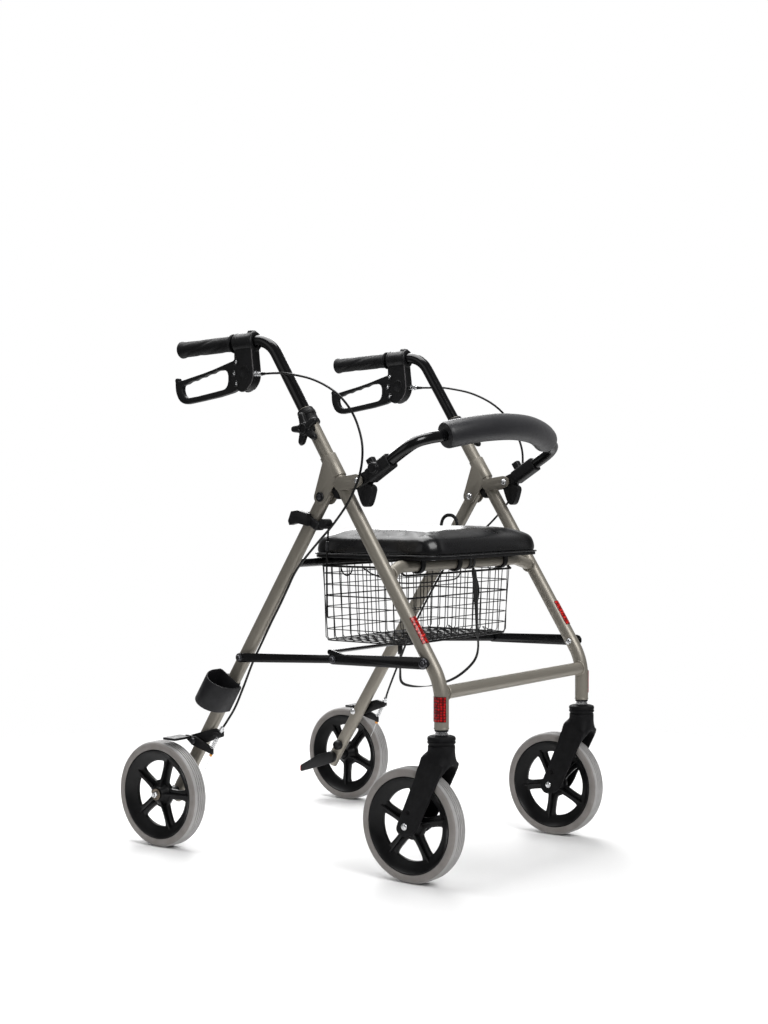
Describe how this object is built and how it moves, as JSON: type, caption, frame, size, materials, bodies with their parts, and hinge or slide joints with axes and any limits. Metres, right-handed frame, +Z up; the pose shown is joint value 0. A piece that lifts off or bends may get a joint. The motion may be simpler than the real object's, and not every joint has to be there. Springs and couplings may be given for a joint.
{
  "type": "rollator walker",
  "caption": "Folding rollator walker with padded seat, padded backrest bar, wire basket, hand brakes and cane holder.",
  "frame": {"origin": "on the floor, in the middle of the walker's box", "axes": "+Z up, the walker faces -Y and the user stands at +Y, +X is the user's left"},
  "size_m": [0.638, 0.752, 0.9745],
  "materials": {
    "frame_tube": "satin champagne metallic paint",
    "black_tube": "gloss black powder coat",
    "black_plastic": "fine-grained moulded plastic",
    "grip_rubber": "soft moulded rubber with spiral grooves",
    "rim_plastic": "satin moulded plastic",
    "tyre": "matt grey non-marking rubber",
    "zinc_steel": "bright zinc plate",
    "seat_vinyl": "glossy black vinyl",
    "pad_foam": "satin foam skin",
    "basket_wire": "black dipped wire",
    "cable_sheath": "black cable sheath",
    "strap_webbing": "black woven webbing"
  },
  "bodies": {
    "front_frame": {"lower_cross_tube": "frame_tube", "seat_cross_tube": "frame_tube", "basket": "basket_wire", "fold_strap": "strap_webbing", "front_leg_right": "frame_tube", "leg_bracket_right": "frame_tube", "pivot_bolt_right": "zinc_steel", "height_collar_right": "black_plastic", "caster_stem_right": "zinc_steel", "brake_cable_right": "cable_sheath", "front_leg_left": "frame_tube", "leg_bracket_left": "frame_tube", "pivot_bolt_left": "zinc_steel", "height_collar_left": "black_plastic", "caster_stem_left": "zinc_steel", "brake_cable_left": "cable_sheath"},
    "rear_frame": {"rear_rail": "black_tube", "cane_cup": "black_plastic", "cane_clip": "black_plastic", "rear_leg_right": "frame_tube", "curb_lever_right": "black_plastic", "brake_bracket_right": "black_plastic", "rear_axle_right": "zinc_steel", "rear_leg_left": "frame_tube", "curb_lever_left": "black_plastic", "brake_bracket_left": "black_plastic", "rear_axle_left": "zinc_steel"},
    "front_links": {"front_link_frame": "black_plastic"},
    "seat": {"seat_cushion": "seat_vinyl", "seat_board": "black_plastic"},
    "backrest": {"backrest_tube": "black_tube", "backrest_pad": "pad_foam", "backrest_bracket_right": "black_plastic", "backrest_bracket_left": "black_plastic"},
    "rear_link_right": {"rear_link_right": "black_plastic"},
    "caster_right": {"fork_right": "black_plastic", "front_axle_right": "zinc_steel"},
    "front_wheel_right": {"tyre_front_right": "tyre", "hub_front_right": "rim_plastic"},
    "rear_wheel_right": {"tyre_rear_right": "tyre", "hub_rear_right": "rim_plastic"},
    "brake_arm_right": {"brake_arm_right": "black_plastic"},
    "handle_right": {"handle_tube_right": "black_tube", "grip_right": "grip_rubber", "brake_housing_right": "black_plastic"},
    "brake_lever_right": {"brake_lever_right": "black_plastic"},
    "star_knob_right": {"star_knob_right": "black_plastic"},
    "rear_link_left": {"rear_link_left": "black_plastic"},
    "caster_left": {"fork_left": "black_plastic", "front_axle_left": "zinc_steel"},
    "front_wheel_left": {"tyre_front_left": "tyre", "hub_front_left": "rim_plastic"},
    "rear_wheel_left": {"tyre_rear_left": "tyre", "hub_rear_left": "rim_plastic"},
    "brake_arm_left": {"brake_arm_left": "black_plastic"},
    "handle_left": {"handle_tube_left": "black_tube", "grip_left": "grip_rubber", "brake_housing_left": "black_plastic"},
    "brake_lever_left": {"brake_lever_left": "black_plastic"},
    "star_knob_left": {"star_knob_left": "black_plastic"}
  },
  "joints": [
    {"name": "fold", "type": "hinge", "parent": "front_frame", "child": "rear_frame", "pos_m": [0, -0.0825, 0.667], "axis": [-1, 0, 0], "range_deg": [0, 36], "deforming": ["basket", "fold_strap", "brake_cable_right", "brake_cable_left"]},
    {"name": "front_link_turn", "type": "hinge", "parent": "front_frame", "child": "front_links", "pos_m": [0, -0.3125, 0.3834], "axis": [1, 0, 0], "range_deg": [0, 47.2]},
    {"name": "rear_link_turn_right", "type": "hinge", "parent": "rear_frame", "child": "rear_link_right", "pos_m": [-0.2615, 0.1075, 0.3672], "axis": [-1, 0, 0], "range_deg": [0, 32.9]},
    {"name": "caster_swivel_right", "type": "hinge", "parent": "front_frame", "child": "caster_right", "pos_m": [-0.244, -0.335, 0.24], "axis": [0, 0, 1], "continuous": true},
    {"name": "front_wheel_spin_right", "type": "hinge", "parent": "caster_right", "child": "front_wheel_right", "pos_m": [-0.244, -0.276, 0.1], "axis": [1, 0, 0], "continuous": true},
    {"name": "rear_wheel_spin_right", "type": "hinge", "parent": "rear_frame", "child": "rear_wheel_right", "pos_m": [-0.292, 0.276, 0.1], "axis": [1, 0, 0], "continuous": true},
    {"name": "handle_height_right", "type": "slide", "parent": "front_frame", "child": "handle_right", "axis": [0, 0.5327, 0.8463], "range_m": [-0.1, 0.02]},
    {"name": "lever_squeeze_right", "type": "hinge", "parent": "handle_right", "child": "brake_lever_right", "pos_m": [-0.244, 0.1, 0.898], "axis": [1, 0, 0], "range_deg": [0, 10], "stiffness_Nm_per_rad": 1.2, "springref_deg": -20.05},
    {"name": "brake_arm_turn_right", "type": "hinge", "parent": "rear_frame", "child": "brake_arm_right", "pos_m": [-0.263, 0.221, 0.202], "axis": [-1, 0, 0], "range_deg": [0, 1.61]},
    {"name": "star_knob_turn_right", "type": "hinge", "parent": "front_frame", "child": "star_knob_right", "pos_m": [-0.278, -0.05714, 0.789], "axis": [-1, 0, 0], "continuous": true},
    {"name": "rear_link_turn_left", "type": "hinge", "parent": "rear_frame", "child": "rear_link_left", "pos_m": [0.2615, 0.1075, 0.3672], "axis": [-1, 0, 0], "range_deg": [0, 32.9]},
    {"name": "caster_swivel_left", "type": "hinge", "parent": "front_frame", "child": "caster_left", "pos_m": [0.244, -0.335, 0.24], "axis": [0, 0, 1], "continuous": true},
    {"name": "front_wheel_spin_left", "type": "hinge", "parent": "caster_left", "child": "front_wheel_left", "pos_m": [0.244, -0.276, 0.1], "axis": [1, 0, 0], "continuous": true},
    {"name": "rear_wheel_spin_left", "type": "hinge", "parent": "rear_frame", "child": "rear_wheel_left", "pos_m": [0.292, 0.276, 0.1], "axis": [1, 0, 0], "continuous": true},
    {"name": "handle_height_left", "type": "slide", "parent": "front_frame", "child": "handle_left", "axis": [0, 0.5327, 0.8463], "range_m": [-0.1, 0.02]},
    {"name": "lever_squeeze_left", "type": "hinge", "parent": "handle_left", "child": "brake_lever_left", "pos_m": [0.244, 0.1, 0.898], "axis": [1, 0, 0], "range_deg": [0, 10], "stiffness_Nm_per_rad": 1.2, "springref_deg": -20.05},
    {"name": "brake_arm_turn_left", "type": "hinge", "parent": "rear_frame", "child": "brake_arm_left", "pos_m": [0.263, 0.221, 0.202], "axis": [-1, 0, 0], "range_deg": [0, 1.61]},
    {"name": "star_knob_turn_left", "type": "hinge", "parent": "front_frame", "child": "star_knob_left", "pos_m": [0.278, -0.05714, 0.789], "axis": [1, 0, 0], "continuous": true},
    {"name": "seat_flip", "type": "hinge", "parent": "front_frame", "child": "seat", "pos_m": [0, -0.212, 0.543], "axis": [1, 0, 0], "range_deg": [0, 70]},
    {"name": "backrest_tilt", "type": "hinge", "parent": "front_frame", "child": "backrest", "pos_m": [0, -0.165, 0.6955], "axis": [-1, 0, 0], "range_deg": [0, 80]}
  ],
  "couplings": [
    {"joint": "front_link_turn", "follows": "fold", "ratio": 1.3111},
    {"joint": "rear_link_turn_right", "follows": "fold", "ratio": 0.91111},
    {"joint": "brake_arm_turn_right", "follows": "lever_squeeze_right", "ratio": 0.16},
    {"joint": "rear_link_turn_left", "follows": "fold", "ratio": 0.91111},
    {"joint": "brake_arm_turn_left", "follows": "lever_squeeze_left", "ratio": 0.16}
  ]
}
